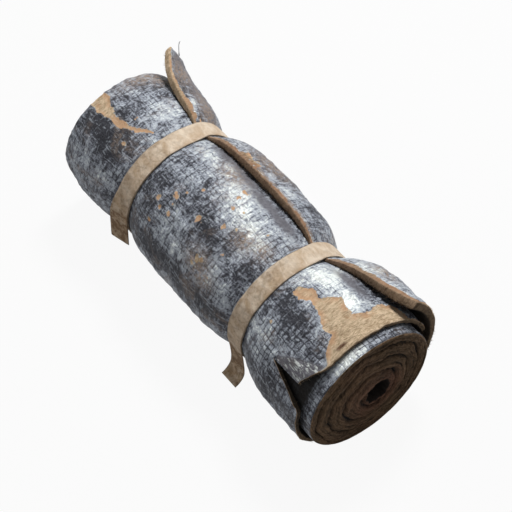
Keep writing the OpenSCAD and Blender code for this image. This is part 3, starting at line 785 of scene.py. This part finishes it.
def buildFringe(s, wrap, material):
    # roots along the loose edge and both ends, but none of the ends' fibres where the roll lies on the floor
    draw = np.random.default_rng(s["seed"])
    looseX = draw.uniform(wrap["rear"] + 4, wrap["front"] - 4, s["loose"])
    frontA = draw.uniform(wrap["start"], wrap["end"], s["front"])
    rearA = draw.uniform(wrap["start"], wrap["end"], s["rear"])
    frontA, rearA = (np.where(np.abs(v - wrap["floorAt"]) < s["clearHalf"], v + 2 * s["clearHalf"], v)
                     for v in (frontA, rearA))
    a = np.concatenate([looseX * 0 + wrap["end"], frontA, rearA])
    x = np.concatenate([
        looseX, wrapFrontEdge(frontA, wrap) - s["inset"], rearA * 0 + wrap["rear"] + s["inset"]])
    inner, outward, thick = wrapSurface(x, a, wrap)
    count = len(a)
    up = draw.uniform(0.06, 0.92, count)
    isLoose = np.arange(count) < s["loose"]
    up = np.where(isLoose, up ** 1.6, up)
    low = np.where(isLoose, share(1.2 - 2.2 * up), 0) * ease((x - s["tuftFrom"]) / s["tuftOver"])
    root = inner + outward * (thick * up)[:, None]
    tangent = joined(0 * a, -outward[:, 2], outward[:, 1])
    forward = np.array([1.0, 0, 0]) * np.where(np.arange(count) < s["loose"] + s["front"], 1, -1)[:, None]
    aim = unit(np.where(isLoose[:, None], tangent, forward) + draw.normal(0, s["stray"], (count, 3)))
    bend = draw.normal(0, s["curl"], (count, 3)) - [0, 0, s["droop"]]
    length = draw.uniform(*s["length"], count) * draw.uniform(0.4, 1, count)
    length = length * (1 - 0.75 * pinch(x)) * (1 + (s["tuftLength"] - 1) * low)

    # each fibre: straight along its aim, plus half its bend times the square of the way, three-sided
    t = np.linspace(0, 1, 4)[:, None]
    line = root[:, None] + length[:, None, None] * (t * aim[:, None] + t ** 2 * bend[:, None] * 0.5)
    sideOne = unit(np.cross(aim, bend + [0.3, 0.2, 0.9]))
    sideTwo = np.cross(aim, sideOne)
    turn = np.arange(3) * 2 * np.pi / 3
    ring = sideOne[:, None] * np.cos(turn)[:, None] + sideTwo[:, None] * np.sin(turn)[:, None]
    wide = np.array([0, 1, 0.7, 0]) * (s["thick"] + s["tuftThick"] * low)[:, None]
    points = line[:, :, None] + ring[:, None] * wide[..., None, None]
    one = gridFaces(4, 3, False, True)
    faces = (one[None] + 12 * np.arange(count)[:, None, None]).reshape(-1, 4)
    lay = points * [0.3, 1, 1]
    low = low[:, None, None] + 0 * points[..., 0]
    wear = joined(0 * low + 2, 0.5 + 0.5 * low, s["dark"] * low)
    attributes = {"lay": lay * metre, "wear": wear, "tone": 0 * points}
    return makePiece("woolFringe", points, faces, attributes, material)


# foil shred: a thin twisted strip that stands up from the rear corner of the loose edge

foilShred = {
    "angle": 405, "inset": 3, "length": 44, "aim": (-0.64, 0.44, 0.62), "hook": (0.5, 0.3, -0.2), "bow": 0.22,
    "width": 3.6, "narrowing": 0.55, "thick": 1.8, "twist": 200, "steps": 14,
    "wear": (-2.0, 1.0, 0.3), "tone": (-3.0, 0.0, 0.6),
}


def buildShred(s, wrap, material):
    # a four-sided section carried along a line that bows towards its hook, narrowing to its tip
    t = np.linspace(0, 1, s["steps"])[:, None]
    place, angle = np.array([wrap["rear"] + s["inset"]]), np.array([float(s["angle"])])
    inner, outward, thick = wrapSurface(place, angle, wrap)
    root = inner[0] + outward[0] * (thick[0] - 1)
    aim = unit(np.array(s["aim"]))
    line = root + s["length"] * (aim * t + np.array(s["hook"]) * s["bow"] * t ** 6)
    turn = np.radians(s["twist"]) * t
    flat = unit(np.cross(aim, [0, 0, 1.0]))
    side = flat * np.cos(turn) + np.cross(aim, flat) * np.sin(turn)
    edge = np.cross(aim, side)
    side = side * s["width"] / 2 * (1 - s["narrowing"] * t) * (t < 1) * (t > 0)
    edge = edge * s["thick"] / 2 * (t < 1) * (t > 0)
    points = np.stack([line + side, line + edge, line - side, line - edge], axis=1)
    attributes = {key: np.broadcast_to(s[key], points.shape) for key in ("wear", "tone")}
    faces = gridFaces(s["steps"], 4, False, True)
    return makePiece("foilShred", points, faces, {"lay": points * metre, **attributes}, material)


# straps: cloth tape round the wrap, climbing over its own hidden end, with a free end of arcs

strapBand = {
    "width": 56, "thick": 2, "gap": 0.5, "overlap": 40, "climb": 8, "step": 1.5,
    "acrossSteps": 15, "tailStep": 4, "wave": 0.6, "flutter": 3.0, "edgeWave": 0.9, "edgeMost": 0.4,
    # soil and painted shade on the side of the tape away from the light: how much, the angle where it starts
    # to rise, and over how many degrees
    "sideSoilAndShade": 0.5, "soilAndShadeFrom": 75, "soilAndShadeOver": 35,
}
# soil and painted shade: share of the way along the free end, and how soiled and shaded the tape is there
rearStrap = {"at": -287, "leave": 150, "arcs": [(93, 30), (93, 0)], "twist": 15, "seed": 31,
             "soilAndShade": [(0, 0.5), (0.3, 0.7), (0.5, 1.25), (1, 1.35)]}
frontStrap = {"at": 187, "leave": 190, "arcs": [(100, -10), (52, -70)], "twist": 0, "seed": 37,
              "soilAndShade": [(0, 0.6), (0.15, 1.4), (0.6, 1.5), (0.78, 0.7), (1, 0.6)]}
clothFinish = {
    # the stain colour also serves as painted shade on the tape's shaded side and free end
    "light": rgb(0.72, 0.605, 0.475), "dark": rgb(0.47, 0.325, 0.195), "stain": rgb(0.155, 0.086, 0.036),
    "thread": 0.0014, "bump": 0.0016, "bumpStrength": 0.55, "rough": 0.82, "sheen": 0.05,
    # how much each layer lightens the tape (soil and painted shade darken it, the folds are painted lighter
    # as a highlight), the level that is taken off, and what it adds to the relief
    "shade": {"blotch": 2.1, "fine": 0.5, "fold": 0.30, "soilAndShade": -0.25}, "shadeLevel": 0.72,
    "relief": {"weave": 0.35, "fine": 0.8, "blotch": 1.5, "fold": 0.8},
}


def strapSeat(at, a):
    # radius at which the tape rests: on the wrap, straight down from its loose edge, and on the turn below
    s = outerWrap

    def top(b):  # outer radius of the wrap
        return wrapRadius(at + 0 * b, b, s) + wrapThick(at + 0 * b, b, s)

    lapEnd, lapStart = np.array([s["end"]]), np.array([s["end"] - 360.0])
    bridge = np.degrees(np.arccos(top(lapStart) / top(lapEnd)))
    span = top(lapStart) / np.cos(np.radians(np.clip(s["end"] + bridge - a, 0, 80)))
    beyond = np.where(a < s["end"] + bridge, span, top(a - 360))
    return strapBand["gap"] + np.where(a <= s["end"], top(a), beyond)


def arcPath(place, heading, arcs, step):
    # points and headings along arcs, each given by its length and the angle it turns
    places, headings = [], []
    for length, turn in arcs:
        t = np.linspace(0, 1, max(3, int(length / step)))[1:]
        half = np.radians(turn * t / 2)
        chord = length * t * np.sinc(half / np.pi)
        mean = np.radians(heading) + half
        places.append(place + chord[:, None] * joined(np.cos(mean), np.sin(mean)))
        headings.append(heading + turn * t)
        place, heading = places[-1][-1], headings[-1][-1]
    return np.concatenate(places), np.concatenate(headings)


def finishCloth(name, s):
    # attribute lay: metres along the tape and across it, and how soiled it is, with painted shade on the side
    # away from the light and on the free end
    material, tree, shader, start = startMaterial(name)
    lay = start.node("ShaderNodeAttribute", {"attribute_name": "lay"}, {}, 1)
    along, across, soilAndShade = lay.parts()
    flat = lay.scaled(1, 1, 0)
    blotch = flat.grain(0.045, 5, 0.66, 0.6)
    fine = flat.grain(0.004, 3, 0.7)
    shade = flat.grain(0.022, 5, 0.7, 0.4).between(0.38, 0.66)
    # folds: ridges of the tape, raised in the relief and painted lighter as a highlight
    fold = flat.scaled(1, 0.6, 1).grain(0.040, 2, 0.5, 1.2).ridge(16).clipped()
    warp = (along * (2 * math.pi / s["thread"])).math("SINE")
    weft = (across * (2 * math.pi / s["thread"])).math("SINE")
    layers = {"blotch": blotch, "fine": fine, "fold": fold, "soilAndShade": soilAndShade, "weave": warp * weft}
    pale = weighed(layers, s["shade"]) - s["shadeLevel"]
    colour = pale.clipped().tint(s["dark"], s["light"])
    spots = flat.grain(0.009, 3, 0.62, 0.5).between(0.54, 0.66)
    # stain from soil and mottled spots, with painted shade on the side away from the light and on the free
    # end
    stained = shade * (0.18 + soilAndShade * 0.6) + spots * soilAndShade * 0.5 + (soilAndShade - 0.6).clipped() * 0.5
    colour = stained.clipped().tint(colour, s["stain"])
    bump = start.node("ShaderNodeBump", {}, {
        "Strength": s["bumpStrength"], "Distance": s["bump"], "Height": weighed(layers, s["relief"])})
    feed(tree, shader, {"Base Color": colour, "Roughness": s["rough"] + fine * 0.15, "Normal": bump,
                        "Sheen Weight": s["sheen"]})
    return material


def buildStrap(name, s, material):
    # middle line: round the wrap, rising gradually over its own hidden end, then the arcs of the free end
    band = strapBand
    start = s["leave"] - band["overlap"]
    angles = np.arange(start, s["leave"] + 360 + 1e-6, band["step"])
    climb = (band["thick"] + band["gap"]) * ease((angles - start - 360 + 2 * band["climb"]) / band["climb"])
    radius = strapSeat(s["at"], angles) + climb
    turn = np.radians(angles)
    ring = radius[:, None] * joined(np.cos(turn), np.sin(turn))
    tail, tailHeading = arcPath(ring[-1], angles[-1] + 90, s["arcs"], band["tailStep"])
    path = np.concatenate([ring, tail])
    heading = np.concatenate([angles + 90, tailHeading])
    free = share((np.arange(len(path)) - len(ring) + 1) / len(tail))
    along = np.concatenate([[0], np.cumsum(np.linalg.norm(np.diff(path, axis=0), axis=1))])

    # closed section: outer face with rounded edges, then the under face
    u = np.linspace(-1, 1, band["acrossSteps"])
    across = np.concatenate([u, u[::-1]]) * band["width"] / 2
    rounding = np.sqrt(1 - np.abs(u) ** 12)
    rise = np.concatenate([band["thick"] / 2 * (1 + rounding), (band["thick"] / 2 * (1 - rounding))[::-1]])
    lay = joined(along[:, None], across[None, :], 0 * across)
    waves = band["wave"] * share(0.5 + noise(lay, 30, s["seed"]))
    waves = waves + band["flutter"] * free[:, None] * noise(lay * [1, 0.3, 1], 55, s["seed"] + 1)
    sway = band["edgeWave"] * noise(lay * [1, 0, 0], 40, s["seed"] + 2) * np.abs(across) / band["width"] * 2
    swung = np.tan(np.radians(s["twist"])) * ease(2 * free)[:, None] * (band["width"] / 2 - across)
    normal = np.radians(heading - 90)
    out = rise + waves + swung
    x = s["at"] + across + np.sign(across) * np.minimum(sway, band["edgeMost"]) + 0 * out
    y = rollMiddle[0] + path[:, :1] + out * np.cos(normal)[:, None]
    z = rollMiddle[1] + path[:, 1:] + out * np.sin(normal)[:, None]
    points = joined(x, y, z)

    # both ends close on the middle line of the tape
    middle = (points + points[:, ::-1]) / 2
    points = np.concatenate([middle[:1], points, middle[-1:]])
    lay = np.concatenate([lay[:1], lay, lay[-1:]])
    faces = gridFaces(points.shape[0], points.shape[1], False, True)
    angleAt = np.concatenate([angles % 360, np.full(len(tail), s["leave"] % 360)])
    # soil and painted shade: rising round the side away from the light, and along the free end as the strap's
    # table gives
    soilAndShade = band["sideSoilAndShade"] * ease((angleAt - band["soilAndShadeFrom"]) / band["soilAndShadeOver"])
    soilAndShade = np.where(free > 0, np.interp(free, *np.transpose(s["soilAndShade"])), soilAndShade)
    soilAndShade = np.concatenate([soilAndShade[:1], soilAndShade, soilAndShade[-1:]])
    lay = np.concatenate([lay[..., :2] * metre, soilAndShade[:, None, None] + 0 * lay[..., :1]], axis=-1)
    piece = makePiece(name, points, faces, {"lay": lay}, material)
    print(name, "is", round(float(along[-1])), "mm long")
    return piece


# floor, light and camera

studio = {
    "floorSize": 8, "floorColour": rgb(0.50, 0.50, 0.50), "floorGlow": 0.93,
    "skyStrength": 0.20,
    # place, size and power of each lamp
    "lamps": {"keyLamp": ((-0.9, 1.7, 3.4), 1.1, 160), "fillLamp": ((-0.5, -3.0, 1.2), 2.5, 16)},
}
view = {
    "place": (2.43263, -1.85356, 4.26481), "right": (0.60819, 0.79379, 0.0),
    "up": (-0.64471, 0.49396, 0.58340), "back": (0.46310, -0.35481, 0.81219), "angle": 14,
}


def addLamp(name, place, size, power):  # a round lamp that is turned to the middle of the scene
    lamp = bpy.data.lights.new(name, "AREA")
    lamp.shape, lamp.size, lamp.energy = "DISK", size, power
    stand = placed(name, lamp)
    stand.location = place
    stand.rotation_euler = (-Vector(place)).to_track_quat("-Z", "Y").to_euler()


def clearRays(tree):  # 1 for what the camera sees straight, mirrored or through glass
    path = tree.nodes.new("ShaderNodeLightPath")
    camera, glossy, through = (Sock(tree, path.outputs[k]) for k in
                               ("Is Camera Ray", "Is Glossy Ray", "Is Transmission Ray"))
    return camera.math("MAXIMUM", glossy).math("MAXIMUM", through)


def addStudio(s, camera):
    scene = bpy.context.scene
    scene.view_settings.view_transform = "Standard"
    half = s["floorSize"]
    level = cadLow.z
    mesh = bpy.data.meshes.new("floor")
    corners = [(-half, -half, level), (half, -half, level), (half, half, level), (-half, half, level)]
    mesh.from_pydata(corners, [], [(0, 1, 2, 3)])
    material, tree, shader, start = startMaterial("paleFloor")
    feed(tree, shader, {"Base Color": s["floorColour"], "Roughness": 1.0, "Specular IOR Level": 0.0})
    glow = start.node("ShaderNodeEmission", {}, {"Color": rgb(1, 1, 1), "Strength": 1.0})
    lit = Sock(tree, shader.outputs[0])
    mixed = start.node("ShaderNodeMixShader", {}, {0: clearRays(tree) * s["floorGlow"], 1: lit, 2: glow})
    feed(tree, tree.nodes["Material Output"], {"Surface": mixed})
    mesh.materials.append(material)
    placed("floor", mesh)

    world = bpy.data.worlds.new("studioSky")
    world.use_nodes = True
    sky = world.node_tree
    strength = clearRays(sky) * (1 - s["skyStrength"]) + s["skyStrength"]
    feed(sky, sky.nodes["Background"], {"Color": rgb(1, 1, 1), "Strength": strength})
    scene.world = world
    for name, settings in s["lamps"].items():
        addLamp(name, *settings)

    lens = bpy.data.cameras.new("camera")
    lens.sensor_fit = "AUTO"
    lens.angle = math.radians(camera["angle"])
    eye = placed("camera", lens)
    turn = Matrix((camera["right"], camera["up"], camera["back"])).transposed()
    eye.matrix_world = Matrix.Translation(camera["place"]) @ turn.to_4x4()
    scene.camera = eye
    print("studio and camera set")


addStudio(studio, view)
matMaterial = finishMat("facedMat", matFinish)
clothMaterial = finishCloth("strapCloth", clothFinish)
print("finishes made")
rolled = buildInnerRoll(innerRoll, matMaterial)
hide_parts("rolled_mat")
wrapped = buildOuterWrap(outerWrap, matMaterial)
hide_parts("outer_wrap")
fringe = buildFringe(woolFringe, outerWrap, matMaterial)
shred = buildShred(foilShred, outerWrap, matMaterial)
for name, settings, node in (("rearStrapTape", rearStrap, "rear_strap"),
                             ("frontStrapTape", frontStrap, "front_strap")):
    tape = buildStrap(name, settings, clothMaterial)
    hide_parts(node)
